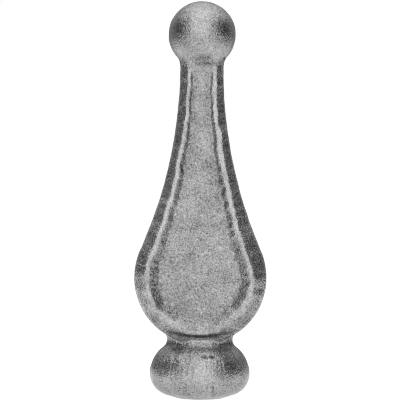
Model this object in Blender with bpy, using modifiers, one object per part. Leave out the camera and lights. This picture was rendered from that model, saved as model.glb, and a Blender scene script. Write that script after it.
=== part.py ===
# Forged fence spike: a ball on a tapering neck, a drop-shaped blade with a sunk panel on its
# front and back, and a turned knob whose flat underside is welded to the top of a fence bar.
# Metres, +Z up. The origin is the middle of the underside, and the broad faces look along -Y and +Y.

import math

import bmesh
import bpy

# Heights above the underside, and the ball
OVERALL_HEIGHT = 0.1200
BALL_DIAMETER = 0.0202
BELLY_HEIGHT = 0.0365  # centre of the belly circle
KNOB_HEIGHT = 0.0073  # widest ring of the knob

# Blade outline, seen from the front
NECK_LENGTH = 0.0097  # from the ball's centre down to where the flanks turn parallel
NECK_WIDTH = 0.0130
BELLY_WIDTH = 0.0399

# Blade section, at the neck and at the belly
NECK_THICKNESS = 0.0104
BELLY_THICKNESS = 0.0237
NECK_SECTION = {
    "chamfer_width": 0.0016,
    "ridge_land": 0.0004,
    "ridge_radius": 0.0008,
    "recess_depth": 0.00055,
    "recess_angle": math.radians(42),  # from the broad face, inside the ridge
    "foot_radius": 0.0006,
    "panel_crown": 0.0004,
}
BELLY_SECTION = {
    "chamfer_width": 0.0032,
    "ridge_land": 0.0006,
    "ridge_radius": 0.0010,
    "recess_depth": 0.0017,
    "recess_angle": math.radians(29),
    "foot_radius": 0.0019,
    "panel_crown": 0.0004,
}
CHAMFER_ANGLE = math.radians(48)  # from the broad face, outside the ridge
DRAFT_ANGLE = math.radians(4)  # the side walls lean in from the parting line
SWELLING_START = 1.5  # above 1 the neck stays slim for longer before the blade thickens

# Turned knob
KNOB_DIAMETER = 0.0300
UNDERSIDE_DIAMETER = 0.0138  # the flat that is welded to the bar
KNOB_UPPER_RADIUS = 0.0101  # roundness above the knob's widest ring
KNOB_LOWER_RADIUS = 0.0065  # roundness below it
WAIST_FILLET_RADIUS = 0.0028

# Fineness of the faceted solid
NECK_ROWS = 3
FLANK_ROWS = 20
BELLY_ROWS = 24
WALL_STEPS = 2
OUTER_RIDGE_STEPS = 3
INNER_RIDGE_STEPS = 2
FOOT_STEPS = 2
PANEL_COLUMNS = 4
WAIST_STEPS = 6
KNOB_ARC_STEPS = 7
KNOB_STEPS_ROUND = 44
BALL_SEGMENTS = 36
BALL_RINGS = 20

MERGE_DISTANCE = 1e-6
STEEL_COLOUR = (0.42, 0.42, 0.43, 1.0)
STEEL_ROUGHNESS = 0.5

BALL_CENTRE_HEIGHT = OVERALL_HEIGHT - BALL_DIAMETER / 2
FLANK_TOP = BALL_CENTRE_HEIGHT - NECK_LENGTH


def mix(first, second, share):
    return first + (second - first) * share


def arc(centre, radius, start, end, steps):
    """Points on a circle from one angle to another, both ends included."""
    angles = [mix(start, end, step / steps) for step in range(steps + 1)]
    return [(centre[0] + radius * math.cos(a), centre[1] + radius * math.sin(a)) for a in angles]


def touching_circle(first, first_radius, second, second_radius, radius):
    """Centre of a circle that touches two others from outside, on their right-hand side."""
    reach_first = first_radius + radius
    reach_second = second_radius + radius
    run = second[0] - first[0]
    rise = second[1] - first[1]
    apart = math.hypot(run, rise)
    along = (reach_first**2 - reach_second**2 + apart**2) / (2 * apart)
    aside = math.sqrt(reach_first**2 - along**2)
    return (
        first[0] + (run * along + rise * aside) / apart,
        first[1] + (rise * along - run * aside) / apart,
    )


def blade_outline():
    """Right half of the outline from the ball down to the lowest point: x, z and the inward direction."""
    neck = NECK_WIDTH / 2
    belly = BELLY_WIDTH / 2
    drop = FLANK_TOP - BELLY_HEIGHT
    # The flank is one hollow arc, parallel to the axis at its top and touching the belly circle below.
    flank_radius = (neck**2 + drop**2 - belly**2) / (2 * (belly - neck))
    flank_centre = (neck + flank_radius, FLANK_TOP)
    touch_angle = math.atan2(drop, flank_centre[0])
    stations = []
    for row in range(NECK_ROWS):
        height = mix(BALL_CENTRE_HEIGHT, FLANK_TOP, row / NECK_ROWS)
        stations.append((neck, height, -1.0, 0.0))
    for row in range(FLANK_ROWS):
        turn = touch_angle * row / FLANK_ROWS
        inward = (-math.cos(turn), -math.sin(turn))
        x = flank_centre[0] + flank_radius * inward[0]
        z = flank_centre[1] + flank_radius * inward[1]
        stations.append((x, z, *inward))
    for row in range(BELLY_ROWS + 1):
        turn = mix(touch_angle, -math.pi / 2, row / BELLY_ROWS)
        x = belly * math.cos(turn) if row < BELLY_ROWS else 0.0
        z = BELLY_HEIGHT + belly * math.sin(turn)
        inward_x = -math.cos(turn) if row < BELLY_ROWS else 0.0
        stations.append((x, z, inward_x, -math.sin(turn)))
    return stations


def way_down(height):
    """Share of the way from the top of the flanks, 0, to the belly's centre and below it, 1."""
    return min(1.0, max(0.0, (FLANK_TOP - height) / (FLANK_TOP - BELLY_HEIGHT)))


def half_thickness(height):
    """Depth of the ridge's crest from the parting plane: slim at the neck, swelling to the belly."""
    swell = way_down(height) ** SWELLING_START
    return mix(NECK_THICKNESS, BELLY_THICKNESS, swell * swell * (3 - 2 * swell)) / 2


def section_sizes(height):
    """Sizes of the blade section at a height."""
    share = way_down(height)
    return {name: mix(NECK_SECTION[name], BELLY_SECTION[name], share) for name in NECK_SECTION}


def ridge_section(sizes, depth):
    """Inset from the outline and depth below the crest, from the top of the side wall to the panel's edge."""
    ridge = sizes["ridge_radius"]
    inside = sizes["recess_angle"]
    chamfer_end = ridge * (1 - math.cos(CHAMFER_ANGLE))
    # The chamfer meets the leaning side wall at the shoulder.
    wall = depth - chamfer_end - sizes["chamfer_width"] * math.tan(CHAMFER_ANGLE)
    lean = math.tan(DRAFT_ANGLE)
    shoulder = wall * lean / (1 - math.tan(CHAMFER_ANGLE) * lean)
    points = [(shoulder, chamfer_end + (sizes["chamfer_width"] - shoulder) * math.tan(CHAMFER_ANGLE))]
    outer_land = sizes["chamfer_width"] + ridge * math.sin(CHAMFER_ANGLE)
    for step in range(OUTER_RIDGE_STEPS + 1):
        tilt = mix(CHAMFER_ANGLE, 0.0, step / OUTER_RIDGE_STEPS)
        points.append((outer_land - ridge * math.sin(tilt), ridge * (1 - math.cos(tilt))))
    inner_land = outer_land + sizes["ridge_land"]
    for step in range(INNER_RIDGE_STEPS + 1):
        tilt = mix(0.0, inside, step / INNER_RIDGE_STEPS)
        points.append((inner_land + ridge * math.sin(tilt), ridge * (1 - math.cos(tilt))))
    wall_start, wall_depth = points[-1]
    floor = sizes["recess_depth"]
    corner = wall_start + (floor - wall_depth) / math.tan(inside)
    foot = sizes["foot_radius"]
    edge = corner + foot * math.tan(inside / 2)
    for step in range(FOOT_STEPS + 1):
        tilt = mix(inside, 0.0, step / FOOT_STEPS)
        points.append((edge - foot * math.sin(tilt), floor - foot * (1 - math.cos(tilt))))
    return points


def blade_row(station):
    """One row of the blade's front right quarter, from the parting line in to the middle of the panel."""
    x, z, inward_x, inward_z = station
    sizes = section_sizes(z)
    section = ridge_section(sizes, half_thickness(z))
    shoulder, below = section[0]
    row = []
    for step in range(WALL_STEPS):
        part = step / WALL_STEPS
        depth = (half_thickness(z) - below) * part
        row.append((x + inward_x * shoulder * part, -depth, z + inward_z * shoulder * part))
    for inset, below in section:
        height = z + inward_z * inset
        row.append((x + inward_x * inset, below - half_thickness(height), height))
    edge_x, edge_y, edge_z = row[-1]
    # The panel is crowned across, and flattens out where it narrows towards its lowest point.
    crown = sizes["panel_crown"] * min(1.0, abs(inward_x) * 2)
    for column in range(1, PANEL_COLUMNS + 1):
        out = 1 - column / PANEL_COLUMNS
        row.append((edge_x * out, edge_y - crown * (1 - out**2), edge_z))
    return row


def steel():
    material = bpy.data.materials.new("forged_steel")
    material.use_nodes = True
    shader = material.node_tree.nodes["Principled BSDF"]
    shader.inputs["Base Color"].default_value = STEEL_COLOUR
    shader.inputs["Metallic"].default_value = 1.0
    shader.inputs["Roughness"].default_value = STEEL_ROUGHNESS
    return material


def new_object(name, shape, collection):
    mesh = bpy.data.meshes.new(name)
    shape.to_mesh(mesh)
    shape.free()
    item = bpy.data.objects.new(name, mesh)
    collection.objects.link(item)
    return item


def build_blade(collection):
    """The blade and neck: a grid laid over one quarter, then mirrored to the left and to the back."""
    rows = [blade_row(station) for station in blade_outline()]
    # The first row closes the neck inside the ball.
    rows.insert(0, [(0.0, 0.0, BALL_CENTRE_HEIGHT)] * len(rows[0]))
    shape = bmesh.new()
    bmesh.ops.create_grid(shape, x_segments=len(rows[0]) - 1, y_segments=len(rows) - 1, size=1.0)
    shape.verts.ensure_lookup_table()
    for number, vertex in enumerate(shape.verts):
        vertex.co = rows[number // len(rows[0])][number % len(rows[0])]
    bmesh.ops.remove_doubles(shape, verts=shape.verts, dist=MERGE_DISTANCE)
    # The grid's faces point away from the axis once its rows run down and its columns run in.
    bmesh.ops.recalc_face_normals(shape, faces=shape.faces)
    outward = sum(face.normal.dot(face.calc_center_median()) * face.calc_area() for face in shape.faces)
    if outward < 0:
        bmesh.ops.reverse_faces(shape, faces=shape.faces)
    blade = new_object("fence_spike", shape, collection)
    mirror = blade.modifiers.new("left and back", "MIRROR")
    mirror.use_axis = (True, True, False)
    mirror.merge_threshold = MERGE_DISTANCE
    return blade


def knob_profile():
    """Half section of the knob and waist, from inside the blade down to the middle of the underside."""
    belly_centre = (0.0, BELLY_HEIGHT)
    upper_centre = (KNOB_DIAMETER / 2 - KNOB_UPPER_RADIUS, KNOB_HEIGHT)
    lower_centre = (KNOB_DIAMETER / 2 - KNOB_LOWER_RADIUS, KNOB_HEIGHT)
    waist_centre = touching_circle(
        upper_centre, KNOB_UPPER_RADIUS, belly_centre, BELLY_WIDTH / 2, WAIST_FILLET_RADIUS
    )
    # The waist is hollow: its arc runs from where it touches the belly circle to where it touches the knob.
    to_belly = math.atan2(belly_centre[1] - waist_centre[1], belly_centre[0] - waist_centre[0])
    to_knob = math.atan2(upper_centre[1] - waist_centre[1], upper_centre[0] - waist_centre[0]) + math.tau
    waist = arc(waist_centre, WAIST_FILLET_RADIUS, to_belly, to_knob, WAIST_STEPS)
    upper = arc(upper_centre, KNOB_UPPER_RADIUS, to_knob - math.pi, 0.0, KNOB_ARC_STEPS)
    # The lower round ends where a straight line from the underside's edge touches it.
    underside = UNDERSIDE_DIAMETER / 2
    run = lower_centre[0] - underside
    reach = math.hypot(run, KNOB_HEIGHT)
    slope = math.atan2(KNOB_HEIGHT, run) - math.asin(KNOB_LOWER_RADIUS / reach)
    lower = arc(lower_centre, KNOB_LOWER_RADIUS, 0.0, slope - math.pi / 2, KNOB_ARC_STEPS)
    return [(0.0, BELLY_HEIGHT), *waist, *upper[1:], *lower[1:], (underside, 0.0), (0.0, 0.0)]


def build_knob(collection):
    """The knob, turned about the axis from its half section."""
    shape = bmesh.new()
    corners = [shape.verts.new((radius, 0.0, height)) for radius, height in knob_profile()]
    for first, second in zip(corners, corners[1:]):
        shape.edges.new((first, second))
    knob = new_object("turned_knob", shape, collection)
    turn = knob.modifiers.new("turning", "SCREW")
    turn.steps = KNOB_STEPS_ROUND
    turn.render_steps = KNOB_STEPS_ROUND
    turn.use_merge_vertices = True
    turn.merge_threshold = MERGE_DISTANCE
    return knob


def build_ball(collection):
    """The ball that closes the spike's top."""
    shape = bmesh.new()
    bmesh.ops.create_uvsphere(
        shape, u_segments=BALL_SEGMENTS, v_segments=BALL_RINGS, radius=BALL_DIAMETER / 2
    )
    ball = new_object("top_ball", shape, collection)
    ball.location.z = BALL_CENTRE_HEIGHT
    return ball


def forge_together(blade, others):
    """Joins the other shapes to the blade as one solid, and hides them."""
    for other in others:
        join = blade.modifiers.new("join " + other.name, "BOOLEAN")
        join.operation = "UNION"
        join.object = other
        other.hide_render = True
        other.display_type = "WIRE"


def main():
    for item in list(bpy.data.objects):
        bpy.data.objects.remove(item)
    spike = bpy.data.collections.new("fence_spike")
    joined = bpy.data.collections.new("shapes_joined_in")
    bpy.context.scene.collection.children.link(spike)
    bpy.context.scene.collection.children.link(joined)
    blade = build_blade(spike)
    forge_together(blade, [build_knob(joined), build_ball(joined)])
    blade.data.materials.append(steel())
    blade.data.shade_smooth()


main()
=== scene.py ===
import math

import bmesh
import bpy
import numpy as np
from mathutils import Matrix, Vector, noise


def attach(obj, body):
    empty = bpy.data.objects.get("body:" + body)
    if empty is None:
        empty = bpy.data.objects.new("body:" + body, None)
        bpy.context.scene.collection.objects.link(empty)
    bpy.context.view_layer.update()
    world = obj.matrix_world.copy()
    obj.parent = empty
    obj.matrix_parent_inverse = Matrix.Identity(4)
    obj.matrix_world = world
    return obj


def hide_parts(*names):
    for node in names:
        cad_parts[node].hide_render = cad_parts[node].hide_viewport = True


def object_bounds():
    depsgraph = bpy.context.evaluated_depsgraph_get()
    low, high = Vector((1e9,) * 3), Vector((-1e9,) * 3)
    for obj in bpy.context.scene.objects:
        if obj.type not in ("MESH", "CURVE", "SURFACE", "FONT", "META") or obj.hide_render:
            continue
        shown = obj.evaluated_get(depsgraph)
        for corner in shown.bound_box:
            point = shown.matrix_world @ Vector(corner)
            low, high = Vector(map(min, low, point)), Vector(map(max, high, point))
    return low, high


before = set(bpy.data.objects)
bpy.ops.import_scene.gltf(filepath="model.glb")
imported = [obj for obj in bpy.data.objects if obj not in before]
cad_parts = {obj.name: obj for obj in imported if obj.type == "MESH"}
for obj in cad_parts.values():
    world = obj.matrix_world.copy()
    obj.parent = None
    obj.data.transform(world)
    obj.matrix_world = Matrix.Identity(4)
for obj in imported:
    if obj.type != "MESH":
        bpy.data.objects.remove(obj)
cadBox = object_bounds()
mm = 0.001


# Small helpers

def mix(first, second, share):
    return first + (second - first) * share


def smoothStep(low, high, value):
    share = min(1.0, max(0.0, (value - low) / (high - low)))
    return share * share * (3 - 2 * share)


def ramp(values, start, reach):
    return np.clip((values - start) / reach, 0, 1)


def fall(values, end, reach):
    return np.clip((end - values) / reach, 0, 1)


def unevenness(point, size, seed):
    return noise.noise(Vector((point[0] / size + seed, point[1] / size - seed, point[2] / size + 2 * seed)))


def waves(point, sizes):
    return sum(unevenness(point, size * mm, seed) for size, seed in sizes)


def mathNode(tree, operation, first, second):
    node = tree.nodes.new("ShaderNodeMath")
    node.operation = operation
    for socket, value in zip(node.inputs, (first, second)):
        if isinstance(value, (int, float)):
            socket.default_value = value
        else:
            tree.links.new(value, socket)
    return node.outputs[0]


def rangeNode(tree, value, low, high, toLow=0.0, toHigh=1.0, kind="LINEAR"):
    node = tree.nodes.new("ShaderNodeMapRange")
    node.interpolation_type = kind
    for name, number in (("From Min", low), ("From Max", high), ("To Min", toLow), ("To Max", toHigh)):
        node.inputs[name].default_value = number
    tree.links.new(value, node.inputs["Value"])
    return node.outputs["Result"]


# Blade: the drop-shaped body with its neck, a ridge and a sunk panel on both faces

blade = {
    "neckWidth": 13.0 * mm,
    "bellyWidth": 39.9 * mm,
    "bellyHeight": 36.5 * mm,
    "ballHeight": 109.9 * mm,
    "neckLength": 9.7 * mm,
    "neckThickness": 10.4 * mm,
    "bellyThickness": 23.7 * mm,
    "swellingStart": 1.5,
    "chamferAngle": math.radians(48),
    "draftAngle": math.radians(1.5),
    "neck": {"ridgeRadius": 0.45 * mm, "recessDepth": 0.62 * mm, "recessAngle": math.radians(50),
             "footRadius": 0.35 * mm, "crown": 0.5 * mm},
    "belly": {"ridgeRadius": 0.6 * mm, "recessDepth": 1.7 * mm, "recessAngle": math.radians(31),
              "footRadius": 0.3 * mm, "crown": 0.4 * mm},
    # height, width of the chamfer and flat of the ridge, in millimetres, down each side of the front
    "rightRidge": [(101, 1.95, 0.85), (90, 2.15, 0.75), (82.6, 2.35, 0.6), (80.2, 1.8, 1.3), (75.4, 2.1, 1.1),
                   (70, 2.4, 1.0), (64, 2.75, 0.8), (54, 3.4, 1.0), (46, 4.05, 0.8), (41, 4.2, 0.7), (36, 3.8, 0.8),
                   (30, 3.4, 1.2), (26, 3.7, 1.2), (21, 3.5, 1.5), (16.6, 3.1, 1.8)],
    "leftRidge": [(101, 2.3, 0.45), (81, 2.25, 0.6), (75.4, 1.8, 0.8), (71.5, 2.05, 0.7), (64, 2.55, 0.8),
                  (54, 2.8, 0.9), (46, 3.0, 0.8), (36, 3.2, 0.75), (30, 3.0, 0.8), (25, 2.8, 0.8), (21, 3.0, 1.3),
                  (16.6, 3.1, 1.8)],
    "backRidge": [(101, 2.0, 0.7), (36, 3.1, 1.0), (16.6, 2.8, 1.7)],
    # how far the panel rises at its lowest point, out to which x, and from and to which height
    "bottomRise": 0.6 * mm,
    "bottomReach": 10 * mm,
    "bottomHeights": (16 * mm, 30 * mm),
    # the ridge wanders: size in millimetres and seed of the waves in the chamfer, the flat and the panel's floor
    "waviness": 0.28 * mm,
    "wavyFrom": 7 * mm,
    "chamferWaves": [(5, 3), (1.9, 5)],
    "flatWaves": [(4, 7), (1.4, 9)],
    "floorWaves": [(6, 11)],
    "floorWaviness": 0.4,
    "faceApart": 0.02,
    "leastFlat": 0.1 * mm,
    "neckRows": 16,
    "flankRows": 110,
    "bellyRows": 84,
    "wallSteps": 8,
    "chamferSteps": 5,
    "crestSteps": 6,
    "recessSteps": 4,
    "panelColumns": 14,
}


def bladeOutline(size):
    # each station is a half width, a height and the way inwards
    neck = size["neckWidth"] / 2
    belly = size["bellyWidth"] / 2
    flankTop = size["ballHeight"] - size["neckLength"]
    drop = flankTop - size["bellyHeight"]
    flankRadius = (neck ** 2 + drop ** 2 - belly ** 2) / (2 * (belly - neck))
    touch = math.atan2(drop, neck + flankRadius)
    stations = []
    for row in range(size["neckRows"]):
        stations.append((neck, mix(size["ballHeight"], flankTop, row / size["neckRows"]), -1.0, 0.0))
    for row in range(size["flankRows"]):
        turn = touch * row / size["flankRows"]
        stations.append((neck + flankRadius * (1 - math.cos(turn)), flankTop - flankRadius * math.sin(turn),
                         -math.cos(turn), -math.sin(turn)))
    for row in range(size["bellyRows"] + 1):
        turn = mix(touch, -math.pi / 2, row / size["bellyRows"])
        last = row == size["bellyRows"]
        stations.append((0.0 if last else belly * math.cos(turn), size["bellyHeight"] + belly * math.sin(turn),
                         0.0 if last else -math.cos(turn), -math.sin(turn)))
    return stations


def wayDown(height, size):
    flankTop = size["ballHeight"] - size["neckLength"]
    return min(1.0, max(0.0, (flankTop - height) / (flankTop - size["bellyHeight"])))


def halfThickness(height, size):
    swell = wayDown(height, size) ** size["swellingStart"]
    return mix(size["neckThickness"], size["bellyThickness"], swell * swell * (3 - 2 * swell)) / 2


def readRidge(keys, height):
    if height >= keys[0][0] * mm:
        return keys[0][1] * mm, keys[0][2] * mm
    for upper, lower in zip(keys, keys[1:]):
        if height >= lower[0] * mm:
            share = (upper[0] * mm - height) / ((upper[0] - lower[0]) * mm)
            return mix(upper[1], lower[1], share) * mm, mix(upper[2], lower[2], share) * mm
    return keys[-1][1] * mm, keys[-1][2] * mm


def ridgeSection(height, keys, sway, size):
    # each point is an inset from the outline and a depth below the crest
    share = wayDown(height, size)
    now = {name: mix(size["neck"][name], size["belly"][name], share) for name in size["neck"]}
    chamfer, land = readRidge(keys, height)
    chamfer += sway[0]
    land = max(size["leastFlat"], land + sway[1])
    ridge, inside, foot = now["ridgeRadius"], now["recessAngle"], now["footRadius"]
    slope = math.tan(size["chamferAngle"])
    lean = math.tan(size["draftAngle"])
    chamferEnd = ridge * (1 - math.cos(size["chamferAngle"]))
    wall = halfThickness(height, size) - chamferEnd - chamfer * slope
    shoulder = wall * lean / (1 - slope * lean)
    points = []
    for step in range(size["chamferSteps"]):
        inset = mix(shoulder, chamfer, step / size["chamferSteps"])
        points.append((inset, chamferEnd + (chamfer - inset) * slope))
    outerLand = chamfer + ridge * math.sin(size["chamferAngle"])
    for step in range(size["crestSteps"] + 1):
        tilt = size["chamferAngle"] * (1 - step / size["crestSteps"])
        points.append((outerLand - ridge * math.sin(tilt), ridge * (1 - math.cos(tilt))))
    innerLand = outerLand + land
    steps = size["recessSteps"]
    for step in range(steps + 1):
        tilt = inside * step / steps
        points.append((innerLand + ridge * math.sin(tilt), ridge * (1 - math.cos(tilt))))
    wallStart, wallDepth = points[-1]
    floor = now["recessDepth"] + sway[2]
    corner = wallStart + (floor - wallDepth) / math.tan(inside)
    edge = corner + foot * math.tan(inside / 2)
    start = edge - foot * math.sin(inside)
    for step in range(1, steps):
        part = step / steps
        points.append((mix(wallStart, start, part), mix(wallDepth, floor - foot * (1 - math.cos(inside)), part)))
    for step in range(steps + 1):
        tilt = inside * (1 - step / steps)
        points.append((edge - foot * math.sin(tilt), floor - foot * (1 - math.cos(tilt))))
    return points, now["crown"]


def bladeRow(station, side, face, size):
    x, z, inwardX, inwardZ = station
    keys = size["backRidge"] if face < 0 else size["rightRidge"] if side > 0 else size["leftRidge"]
    # the ridge wanders a little, except at the lowest point where left and right meet
    loose = smoothStep(0, size["wavyFrom"], x) * size["waviness"]
    where = (x * side, face * size["faceApart"], z)
    rise = size["bottomRise"] * (1 - smoothStep(0, size["bottomReach"], x))
    rise *= 1 - smoothStep(*size["bottomHeights"], z)
    sway = (loose * waves(where, size["chamferWaves"]),
            loose * waves(where, size["flatWaves"]),
            loose * size["floorWaviness"] * waves(where, size["floorWaves"]) - rise)
    section, _ = ridgeSection(z, keys, sway, size)
    middle, crown = ridgeSection(z, size["backRidge"], (0, 0, 0), size)
    shoulder, below = section[0]
    row = []
    for step in range(size["wallSteps"]):
        part = step / size["wallSteps"]
        depth = (halfThickness(z, size) - below) * part
        row.append((x + inwardX * shoulder * part, depth, z + inwardZ * shoulder * part))
    for inset, below in section:
        height = z + inwardZ * inset
        row.append((x + inwardX * inset, halfThickness(height, size) - below, height))
    edgeX, edgeY, edgeZ = row[-1]
    middleZ = z + inwardZ * middle[-1][0]
    # the panel's crown runs out where the rows close in on the lowest point
    middleY = halfThickness(middleZ, size) - middle[-1][1] + crown * min(1.0, abs(inwardX) * 2)
    for column in range(1, size["panelColumns"] + 1):
        out = 1 - column / size["panelColumns"]
        row.append((edgeX * out, mix(middleY, edgeY, out ** 2), mix(middleZ, edgeZ, out)))
    return [(px * side, -py * face, pz) for px, py, pz in row]


def buildBlade(shape, size):
    stations = bladeOutline(size)
    for side in (1, -1):
        for face in (1, -1):
            rows = [bladeRow(station, side, face, size) for station in stations]
            rows.insert(0, [(0.0, 0.0, size["ballHeight"])] * len(rows[0]))
            width = len(rows[0])
            grid = bmesh.ops.create_grid(shape, x_segments=width - 1, y_segments=len(rows) - 1, size=1.0)
            for number, vertex in enumerate(grid["verts"]):
                vertex.co = rows[number // width][number % width]
    bmesh.ops.remove_doubles(shape, verts=shape.verts, dist=0.002 * mm)
    bmesh.ops.recalc_face_normals(shape, faces=shape.faces)


# Foot: the turned knob and waist under the blade

foot = {
    "knobWidth": 30.0 * mm,
    "knobHeight": 7.3 * mm,
    "upperRadius": 10.1 * mm,
    "lowerRadius": 6.5 * mm,
    "waistRadius": 2.8 * mm,
    "undersideWidth": 13.8 * mm,
    "arcSteps": 20,
    "turnSteps": 180,
}


def arc(centre, radius, start, end, steps):
    turns = [mix(start, end, step / steps) for step in range(steps + 1)]
    return [(centre[0] + radius * math.cos(turn), centre[1] + radius * math.sin(turn)) for turn in turns]


def footProfile(size, body):
    bellyRadius = body["bellyWidth"] / 2
    upper = (size["knobWidth"] / 2 - size["upperRadius"], size["knobHeight"])
    lower = (size["knobWidth"] / 2 - size["lowerRadius"], size["knobHeight"])
    # the waist's hollow circle touches the knob and the belly circle
    reachKnob = size["upperRadius"] + size["waistRadius"]
    reachBelly = bellyRadius + size["waistRadius"]
    run, rise = -upper[0], body["bellyHeight"] - upper[1]
    apart = math.hypot(run, rise)
    along = (reachKnob ** 2 - reachBelly ** 2 + apart ** 2) / (2 * apart)
    aside = math.sqrt(reachKnob ** 2 - along ** 2)
    waist = (upper[0] + (run * along + rise * aside) / apart, upper[1] + (rise * along - run * aside) / apart)
    toBelly = math.atan2(body["bellyHeight"] - waist[1], -waist[0])
    toKnob = math.atan2(upper[1] - waist[1], upper[0] - waist[0]) + math.tau
    underside = size["undersideWidth"] / 2
    run = lower[0] - underside
    slope = math.atan2(size["knobHeight"], run) - math.asin(size["lowerRadius"] / math.hypot(run, size["knobHeight"]))
    steps = size["arcSteps"]
    return [(0.0, body["bellyHeight"]), *arc(waist, size["waistRadius"], toBelly, toKnob, steps),
            *arc(upper, size["upperRadius"], toKnob - math.pi, 0.0, steps)[1:],
            *arc(lower, size["lowerRadius"], 0.0, slope - math.pi / 2, steps)[1:],
            (underside, 0.0), (0.0, 0.0)]


def buildFoot(shape, size, body):
    corners = [shape.verts.new((radius, 0.0, height)) for radius, height in footProfile(size, body)]
    edges = [shape.edges.new(pair) for pair in zip(corners, corners[1:])]
    bmesh.ops.spin(shape, geom=corners + edges, cent=(0, 0, 0), axis=(0, 0, 1), angle=math.tau,
                   steps=size["turnSteps"], use_merge=True)
    bmesh.ops.remove_doubles(shape, verts=shape.verts, dist=0.002 * mm)
    bmesh.ops.recalc_face_normals(shape, faces=shape.faces)


# Ball on the neck

ball = {"width": 20.2 * mm, "segments": 128, "rings": 80}


def buildBall(shape, size, body):
    made = bmesh.ops.create_uvsphere(shape, u_segments=size["segments"], v_segments=size["rings"],
                                     radius=size["width"] / 2)
    bmesh.ops.translate(shape, verts=made["verts"], vec=(0, 0, body["ballHeight"]))


# Forging: the shapes run together into one skin, then get the unevenness of hot-struck, blasted steel

forging = {
    "grid": 0.38 * mm,
    "softening": 1,
    # height, breadth and rounds of smoothing of the soft run-out where the neck flows into the ball
    "ballRunOut": (101.2, 1.8, 80),
    "hollows": [(9.0, 0.060, 1), (3.4, 0.045, 2), (1.6, 0.030, 3), (1.0, 0.028, 4)],  # size, height, seed
    # lines down the knob's shoulder, and the heights between which they come in and fade again
    "flowLines": {"height": 0.14 * mm, "left": 1.5, "right": 0.8, "perRadian": 13, "breadth": 0.6, "length": 5,
                  "seed": 5, "comeIn": (6, 10), "fade": (16.5, 19)},
    # x, height, half width, half height, depth and darkness of small pits on the front, in millimetres; the last two,
    # under the ball, are shallow grooves whose darkness is a painted shadow
    "pitsAndPaintedShades": [(1.6, 13.3, 0.85, 0.42, 0.3, 1.4), (3.6, 13.4, 0.9, 0.42, 0.28, 1.3),
             (4.0, 3.2, 0.35, 2.6, 0.14, 0.75), (7.1, 102.7, 0.55, 0.4, 0.3, 1.3),
             (0.9, 100.75, 3.0, 0.55, 0.12, 0.65), (1.2, 100.1, 1.8, 0.5, 0.05, 0.3)],
    "pitRim": (0.3, 1.6),
    # the crease where the belly meets the waist: height in the middle, rise at the reach, reach, width and depth
    "crease": (19.1, 1.5, 9.8, 0.5, 0.1),
    "creaseRim": (0.2, 1.5),
    "creaseEnd": (0.85, 1.25),
    # painted shade darkens the crease
    "creasePaintedShade": 0.7,
    "flash": 0.10 * mm,
    "flashRim": (0.25, 0.8),
    "flashWave": 3,
    "weldFace": (0.0, 1.2),
    "cutCorner": {"facing": (-0.40, -0.10, -0.911), "distance": 5.15 * mm, "below": 6 * mm, "share": 0.85},
}


def meshOf(shape, name):
    mesh = bpy.data.meshes.new(name)
    shape.to_mesh(mesh)
    shape.free()
    return mesh


def shaped(build, *sizes):
    shape = bmesh.new()
    build(shape, *sizes)
    return meshOf(shape, "shape")


def runTogether(shapes, size):
    joined = bmesh.new()
    for mesh in shapes:
        joined.from_mesh(mesh)
        bpy.data.meshes.remove(mesh)
    rough = bpy.data.objects.new("roughSkin", meshOf(joined, "roughSkin"))
    bpy.context.scene.collection.objects.link(rough)
    skin = rough.modifiers.new("skin", "REMESH")
    skin.mode = "VOXEL"
    skin.voxel_size = size["grid"]
    ready = rough.evaluated_get(bpy.context.evaluated_depsgraph_get())
    mesh = bpy.data.meshes.new_from_object(ready)
    bpy.data.objects.remove(rough)
    return mesh


def spread(values, pairs, count, rounds, amount=0.5):
    # each point's value moves towards the mean of its neighbours'
    both = np.concatenate([pairs, pairs[:, ::-1]])
    both = both[np.argsort(both[:, 0], kind="stable")]
    starts = np.searchsorted(both[:, 0], np.arange(count))
    share = np.bincount(both[:, 0], minlength=count).astype(float)
    share = share[:, None] if values.ndim > 1 else share
    for _ in range(rounds):
        values = values + amount * (np.add.reduceat(values[both[:, 1]], starts, axis=0) / share - values)
    return values


def readPoints(mesh):
    points = np.empty(len(mesh.vertices) * 3)
    mesh.vertices.foreach_get("co", points)
    normals = np.empty(len(mesh.vertices) * 3)
    mesh.vertices.foreach_get("normal", normals)
    return points.reshape(-1, 3), normals.reshape(-1, 3)


def writePoints(mesh, points):
    mesh.vertices.foreach_set("co", points.ravel())
    mesh.update()


def readPairs(mesh):
    pairs = np.empty(len(mesh.edges) * 2, dtype=np.int64)
    mesh.edges.foreach_get("vertices", pairs)
    return pairs.reshape(-1, 2)


def flowLine(x, y, z, flow):
    line = noise.noise(Vector((math.atan2(x, -y) * flow["perRadian"] / flow["breadth"], z / flow["length"],
                               flow["seed"])))
    strength = flow["left"] if x < 0 else flow["right"]
    return flow["height"] / mm * line * strength * smoothStep(*flow["comeIn"], z) * (1 - smoothStep(*flow["fade"], z))


def frontMarks(x, z, size):
    # the depth of the pits and the crease, and their darkness: dark pits, and painted shade in the crease and under
    # the ball
    depths = []
    darkest = 0.0
    for pitX, pitZ, wide, tall, deep, dark in size["pitsAndPaintedShades"]:
        amount = 1 - smoothStep(*size["pitRim"], math.hypot((x - pitX) / wide, (z - pitZ) / tall))
        depths.append(deep * amount)
        darkest = max(darkest, dark * amount)
    low, rise, reach, wide, deep = size["crease"]
    start, end = size["creaseEnd"]
    amount = 1 - smoothStep(*size["creaseRim"], abs(z - low - rise * (x / reach) ** 2) / wide)
    amount *= 1 - smoothStep(reach * start, reach * end, abs(x))
    depths.append(deep * amount)
    return depths, max(darkest, size["creasePaintedShade"] * amount)


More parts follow.
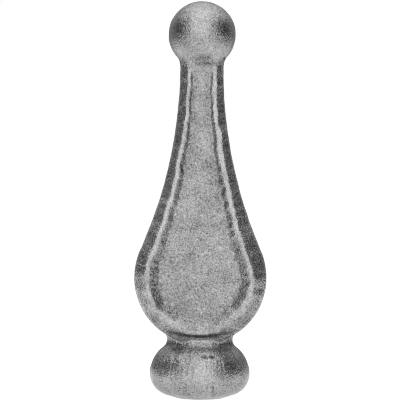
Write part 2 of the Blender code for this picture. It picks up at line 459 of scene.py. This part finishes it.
def forgeSkin(mesh, size):
    pairs = readPairs(mesh)
    points, _ = readPoints(mesh)
    count = len(points)
    points = spread(points, pairs, count, size["softening"])
    height, breadth, rounds = size["ballRunOut"]
    near = np.exp(-((points[:, 2] / mm - height) / breadth) ** 2)
    points = spread(points, pairs, count, rounds, 0.5 * near[:, None])
    writePoints(mesh, points)
    points, normals = readPoints(mesh)
    push = np.zeros(count)
    pitsAndPaintedShade = np.zeros(count)
    flow = size["flowLines"]
    for index in range(count):
        x, y, z = points[index] / mm
        height = 0.0
        for scale, tall, seed in size["hollows"]:
            height += tall * noise.noise(Vector((x / scale + seed * 7, y / scale, z / scale - seed * 3)))
        if flow["comeIn"][0] < z < flow["fade"][1]:
            height += flowLine(x, y, z, flow)
        if y < 0:
            depths, pitsAndPaintedShade[index] = frontMarks(x, z, size)
            for depth in depths:
                height -= depth
        # trimmed flash where the two dies met
        ragged = noise.noise(Vector((x / size["flashWave"], 0, z / size["flashWave"])))
        height += size["flash"] / mm * (1 - smoothStep(*size["flashRim"], abs(y))) * (0.6 + 0.6 * ragged)
        push[index] = height * smoothStep(*size["weldFace"], z)  # the weld face stays flat
    points = points + normals * push[:, None] * mm
    # a glancing cut has flattened the knob's lower left edge
    cut = size["cutCorner"]
    facing = np.array(cut["facing"])
    over = points @ facing - cut["distance"]
    near = (points[:, 0] < 0) & (points[:, 2] < cut["below"]) & (over > 0)
    points[near] -= facing * over[near, None] * cut["share"]
    # the unevenness keeps inside the solid's outer size
    points = np.clip(points, cadBox[0], cadBox[1])
    writePoints(mesh, points)
    return pitsAndPaintedShade


# Wear and painted light: where the steel is rubbed bright or keeps its scale, with painted highlights, painted shade
# and painted glints, for the material to read

wearAndPaintedLightMarks = {
    "broadRounds": 26,
    "evenRounds": 7,
    # pairs are where a mark starts or ends and the reach over which it changes, in millimetres for heights and
    # for how far a place stands out, and in parts of the normal for which way it faces
    "proud": (0.03, 0.09),
    "sunk": (0.02, 0.08),
    "sunkScale": 0.35,
    "facingAhead": (0.3, 0.4),
    "bladeHeights": (18, 101),
    "ridgeRub": 0.5,
    "ridgeRubAbove": 0.9,
    "ridgeRubFrom": (20, 12),
    "ballFrom": 102,
    "ballHighlight": 0.35,
    "knobTo": 15,
    "knobHighlight": 0.2,
    # x, height, half width, half height and strength of painted highlights on the front, and of painted shade where
    # the strength is below nought
    "paintedLightPatches": [(0.5, 80, 2.2, 8, 0.4), (3.5, 104.6, 3.5, 3, 0.5), (-0.5, 8.5, 4, 3, 0.5), (0.0, 20.6, 7, 1.2, 0.3),
                (-1.5, 104, 3, 2, 0.3), (0.0, 3.2, 7, 2.5, 0.4), (8.8, 12.6, 2.4, 3, -2.2)],
    "facingIn": (0.2, 0.15),
    "panelWallTo": 45,
    "panelWallShade": 0.45,
    "facingDown": (0.15, 0.25),
    "underTo": 34,
    "underShade": 0.55,
    "facingOut": (0.3, 0.2),
    "sideFrom": (27, 7),
    "sideTo": (37.5, 2),
    "sidePaintedShade": {"left": 1.0, "right": 1.7},
    "waistFrom": (15.6, 1.2),
    "waistTo": (18.9, 0.3),
    "waistMiddle": (9, 1.5),
    "waistHighlight": 0.6,
    "waistSideShade": 1.7,
    "waistLineHighlight": 1.7,
    "waistLineFrom": (17.2, 0.8),
    "waistLineMiddle": (8, 3),
    "bevelFrom": (0.45, 0.2),
    "bevelTo": (0.98, 0.1),
    "panelWallGlints": 0.4,
    "glintsAbove": (24, 10),
}


def paintMasks(mesh, pitsAndPaintedShade, size):
    pairs = readPairs(mesh)
    points, normals = readPoints(mesh)
    count = len(points)
    broad = spread(points, pairs, count, size["broadRounds"])
    bulge = np.einsum("ij,ij->i", points - broad, normals) / mm
    bulge = spread(bulge, pairs, count, size["evenRounds"])
    height = points[:, 2] / mm
    across = points[:, 0] / mm
    outward = normals[:, 0] * np.sign(across)
    ahead = ramp(-normals[:, 1], *size["facingAhead"])
    bladeFoot, bladeTop = size["bladeHeights"]
    onBlade = (height > bladeFoot) * (height < bladeTop)

    # places that stand out are rubbed bright
    ridgeRub = size["ridgeRub"] + size["ridgeRubAbove"] * ramp(height, *size["ridgeRubFrom"])
    rubAndPaintedLight = ramp(bulge, *size["proud"]) * np.where(onBlade, ridgeRub, 1.0)
    # painted highlight on the front of the ball and of the knob
    knobHighlight = np.where(height < size["knobTo"], size["knobHighlight"], 0.0)
    rubAndPaintedLight += np.where(height > size["ballFrom"], size["ballHighlight"], knobHighlight) * ahead
    for patchX, patchZ, wide, tall, strength in size["paintedLightPatches"]:
        rubAndPaintedLight += strength * ahead * np.exp(-((across - patchX) / wide) ** 2 - ((height - patchZ) / tall) ** 2)

    # scale stays in hollows; painted shade darkens the low walls of the panel and the faces turned down below the
    # belly
    scaled = ramp(-bulge, *size["sunk"]) * size["sunkScale"]
    wall = ramp(-outward, *size["facingIn"]) * (height > bladeFoot) * (height < size["panelWallTo"])
    under = ramp(-normals[:, 2], *size["facingDown"]) * (height < size["underTo"])
    wornAndPaintedLight = rubAndPaintedLight - np.clip(scaled + size["panelWallShade"] * wall + size["underShade"] * under, 0, 1)
    # painted shade on the outward faces at the sides just below the belly's widest point, more on the right
    turned = ramp(outward, *size["facingOut"]) * ramp(height, *size["sideFrom"]) * fall(height, *size["sideTo"])
    wornAndPaintedLight -= turned * np.where(across > 0, size["sidePaintedShade"]["right"], size["sidePaintedShade"]["left"])

    # painted highlight on the waist's middle, most along its upper edge, and painted shade at its sides
    waist = ramp(height, *size["waistFrom"]) * fall(height, *size["waistTo"])
    middle = fall(abs(across), *size["waistMiddle"])
    line = size["waistLineHighlight"] * ramp(height, *size["waistLineFrom"]) * fall(abs(across), *size["waistLineMiddle"])
    bright = size["waistHighlight"] + line
    wornAndPaintedLight = wornAndPaintedLight * (1 - waist) + waist * (bright * middle - size["waistSideShade"] * (1 - middle))

    # painted glints: the bevels, and less the panel's low walls, get stronger and lighter grain in the material
    bevel = ramp(outward, *size["bevelFrom"]) * fall(outward, *size["bevelTo"])
    bevel += size["panelWallGlints"] * ramp(-outward, *size["bevelFrom"])
    edges = bevel * ramp(height, *size["glintsAbove"]) * (height < bladeTop)

    for name, values in (("wornAndPaintedLight", wornAndPaintedLight), ("pitsAndPaintedShade", pitsAndPaintedShade), ("edges", edges)):
        layer = mesh.attributes.new(name, "FLOAT", "POINT")
        layer.data.foreach_set("value", values.astype(np.float32))


# Raw steel

steel = {
    "dark": (0.08, 0.079, 0.081, 1.0),
    "pale": (0.70, 0.694, 0.702, 1.0),
    "roughness": (0.20, 0.35),
    # noises to the millimetre: scale, detail, roughness
    "grain": (1.15, 2.0, 0.6),
    "speck": (2.4, 2.0, 0.6),
    "mottle": (0.16, 4.0, 0.6),
    # how far each moves the tone, 0 being dark and 1 pale
    "grainTone": 0.19,
    "speckTone": 0.4,
    "mottleTone": (0.255, 0.495),
    "wornAndPaintedLightTone": 0.15,
    "wornAndPaintedLightLimit": 2.5,
    "bevelGlintTone": 0.25,
    "pitsAndPaintedShadeTone": 0.3,
    # grain and specks where the steel is worn or carries painted light, and on the bevels, where the stronger grain
    # is painted glints
    "wornAndPaintedLightGrain": 0.92,
    "bevelGlintGrain": 1.7,
    "bumpHeight": 0.3 * mm,
    "bumpStrength": 0.65,
    "bumpGrain": 0.6,
    "bumpSpeck": 0.8,
}


def steelMaterial(look):
    material = bpy.data.materials.new("rawForgedSteel")
    material.use_nodes = True
    tree = material.node_tree
    nodes, links = tree.nodes, tree.links
    shader = nodes["Principled BSDF"]
    place = nodes.new("ShaderNodeTexCoord")
    inMm = nodes.new("ShaderNodeMapping")
    inMm.inputs["Scale"].default_value = (1000, 1000, 1000)
    links.new(place.outputs["Object"], inMm.inputs["Vector"])

    def noiseMap(values):
        node = nodes.new("ShaderNodeTexNoise")
        for name, value in zip(("Scale", "Detail", "Roughness"), values):
            node.inputs[name].default_value = value
        links.new(inMm.outputs["Vector"], node.inputs["Vector"])
        return node.outputs["Fac"]

    def painted(name):
        node = nodes.new("ShaderNodeAttribute")
        node.attribute_name = name
        return node.outputs["Fac"]

    grain, speck, mottle = noiseMap(look["grain"]), noiseMap(look["speck"]), noiseMap(look["mottle"])
    wornAndPaintedLight, pitsAndPaintedShade, edges = painted("wornAndPaintedLight"), painted("pitsAndPaintedShade"), painted("edges")

    tone = mathNode(tree, "ADD", rangeNode(tree, grain, 0.2, 0.8, -look["grainTone"], look["grainTone"]),
                    rangeNode(tree, speck, 0.2, 0.8, -look["speckTone"], look["speckTone"]))
    tone = mathNode(tree, "MULTIPLY", tone, rangeNode(tree, wornAndPaintedLight, 0.0, 1.0, 1.0, look["wornAndPaintedLightGrain"]))
    # painted glints: stronger and lighter grain where the edges attribute is high
    tone = mathNode(tree, "MULTIPLY", tone, rangeNode(tree, edges, 0.0, 1.0, 1.0, look["bevelGlintGrain"]))
    tone = mathNode(tree, "ADD", tone, rangeNode(tree, edges, 0.0, 1.0, 0.0, look["bevelGlintTone"]))
    tone = mathNode(tree, "ADD", tone, rangeNode(tree, mottle, 0.3, 0.7, *look["mottleTone"]))
    limit = look["wornAndPaintedLightLimit"]
    shift = look["wornAndPaintedLightTone"] * limit
    # the tone follows real wear and scale, and painted highlights and painted shade
    tone = mathNode(tree, "ADD", tone, rangeNode(tree, wornAndPaintedLight, -limit, limit, -shift, shift))
    # dark pits, and painted shade in the crease and under the ball
    tone = mathNode(tree, "SUBTRACT", tone, mathNode(tree, "MULTIPLY", pitsAndPaintedShade, look["pitsAndPaintedShadeTone"]))
    colour = nodes.new("ShaderNodeMix")
    colour.data_type = "RGBA"
    colour.inputs[6].default_value = look["dark"]
    colour.inputs[7].default_value = look["pale"]
    links.new(tone, colour.inputs[0])
    links.new(colour.outputs[2], shader.inputs["Base Color"])
    shader.inputs["Metallic"].default_value = 1.0
    links.new(rangeNode(tree, speck, 0.3, 0.7, *look["roughness"]), shader.inputs["Roughness"])

    bump = nodes.new("ShaderNodeBump")
    bump.inputs["Strength"].default_value = look["bumpStrength"]
    bump.inputs["Distance"].default_value = look["bumpHeight"]
    relief = mathNode(tree, "ADD", mathNode(tree, "MULTIPLY", grain, look["bumpGrain"]),
                      mathNode(tree, "MULTIPLY", speck, look["bumpSpeck"]))
    links.new(relief, bump.inputs["Height"])
    links.new(bump.outputs["Normal"], shader.inputs["Normal"])
    return material


# The spike put together

shapes = [shaped(buildBlade, blade), shaped(buildFoot, foot, blade), shaped(buildBall, ball, blade)]
print("blade, foot and ball shaped")

skin = runTogether(shapes, forging)
print("one skin:", len(skin.vertices), "points", len(skin.polygons), "faces")
pitsAndPaintedShadeDarkness = forgeSkin(skin, forging)
paintMasks(skin, pitsAndPaintedShadeDarkness, wearAndPaintedLightMarks)
skin.shade_smooth()
spike = bpy.data.objects.new("forgedSpike", skin)
bpy.context.scene.collection.objects.link(spike)
skin.materials.append(steelMaterial(steel))
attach(spike, "root")
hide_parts("fence_spike")
print("steel skin forged")


# Studio: a white table and white surroundings with darker walls at the sides

studio = {
    "tableReach": 0.44,
    "tableColour": (0.02, 0.02, 0.02, 1),
    "tableRoughness": 0.9,
    "floorGlow": 1.0,
    # brightness of the light tent, the table being 1, and the degrees over which it changes
    "front": 1.18,
    "back": 0.3,
    "frontToBack": (50, 160),
    "top": 1.38,
    "sideToTop": (10, 70),
    # a dark card stands on each side: degrees round from the front and up from the horizon, with soft edges
    "cardRound": ((40, 56), (106, 138)),
    "cardUp": ((-36, -4), (28, 56)),
    "darkLeft": 0.92,
    "darkRight": 0.96,
    "cameraDistance": 0.65,
    "cameraHeight": 59.86 * mm,
    "cameraShiftX": -0.29 * mm,
    "cameraRoll": math.radians(0.426),
    "lens": 193.2,
    "pixelFilter": 1.0,  # crisp, as the photo is
}


def buildFloor(size):
    shape = bmesh.new()
    bmesh.ops.create_grid(shape, x_segments=1, y_segments=1, size=size["tableReach"])
    floor = bpy.data.objects.new("floor", meshOf(shape, "floor"))
    bpy.context.scene.collection.objects.link(floor)
    material = bpy.data.materials.new("paleTable")
    material.use_nodes = True
    shader = material.node_tree.nodes["Principled BSDF"]
    shader.inputs["Base Color"].default_value = size["tableColour"]
    shader.inputs["Roughness"].default_value = size["tableRoughness"]
    shader.inputs["Emission Color"].default_value = (1, 1, 1, 1)
    shader.inputs["Emission Strength"].default_value = size["floorGlow"]
    floor.data.materials.append(material)


def buildSurround(size):
    world = bpy.data.worlds.new("studio")
    world.use_nodes = True
    bpy.context.scene.world = world
    tree = world.node_tree
    nodes, links = tree.nodes, tree.links

    def times(first, second):
        return mathNode(tree, "MULTIPLY", first, second)

    def rest(share):
        return mathNode(tree, "SUBTRACT", 1.0, share)

    def rise(value, span):
        return rangeNode(tree, value, *span, kind="SMOOTHSTEP")

    def blend(first, second, share):
        return mathNode(tree, "ADD", times(first, rest(share)), times(second, share))

    def band(value, spans):
        return mathNode(tree, "SUBTRACT", rise(value, spans[0]), rise(value, spans[1]))

    place = nodes.new("ShaderNodeTexCoord")
    split = nodes.new("ShaderNodeSeparateXYZ")
    links.new(place.outputs["Generated"], split.inputs[0])
    across = mathNode(tree, "ABSOLUTE", split.outputs["X"], 0.0)
    around = times(mathNode(tree, "ARCTAN2", across, times(split.outputs["Y"], -1.0)), math.degrees(1.0))
    up = times(mathNode(tree, "ARCSINE", split.outputs["Z"], 0.0), math.degrees(1.0))
    level = blend(size["front"], size["back"], rise(around, size["frontToBack"]))
    level = blend(level, size["top"], rise(up, size["sideToTop"]))
    dark = blend(size["darkLeft"], size["darkRight"], mathNode(tree, "GREATER_THAN", split.outputs["X"], 0.0))
    card = times(times(band(around, size["cardRound"]), band(up, size["cardUp"])), dark)
    level = times(level, rest(card))
    # the camera itself sees plain white behind the spike
    seen = nodes.new("ShaderNodeLightPath").outputs["Is Camera Ray"]
    level = mathNode(tree, "ADD", times(level, rest(seen)), seen)
    background = nodes["Background"]
    links.new(level, background.inputs["Strength"])
    background.inputs["Color"].default_value = (1, 1, 1, 1)


def buildCamera(size):
    camera = bpy.data.objects.new("camera", bpy.data.cameras.new("camera"))
    bpy.context.scene.collection.objects.link(camera)
    camera.data.lens = size["lens"]
    camera.location = (size["cameraShiftX"], -size["cameraDistance"], size["cameraHeight"])
    camera.rotation_euler = (math.pi / 2, -size["cameraRoll"], 0)
    bpy.context.scene.camera = camera


buildFloor(studio)
buildSurround(studio)
buildCamera(studio)
bpy.context.scene.view_settings.view_transform = "Standard"
bpy.context.scene.cycles.filter_width = studio["pixelFilter"]
print("studio set")
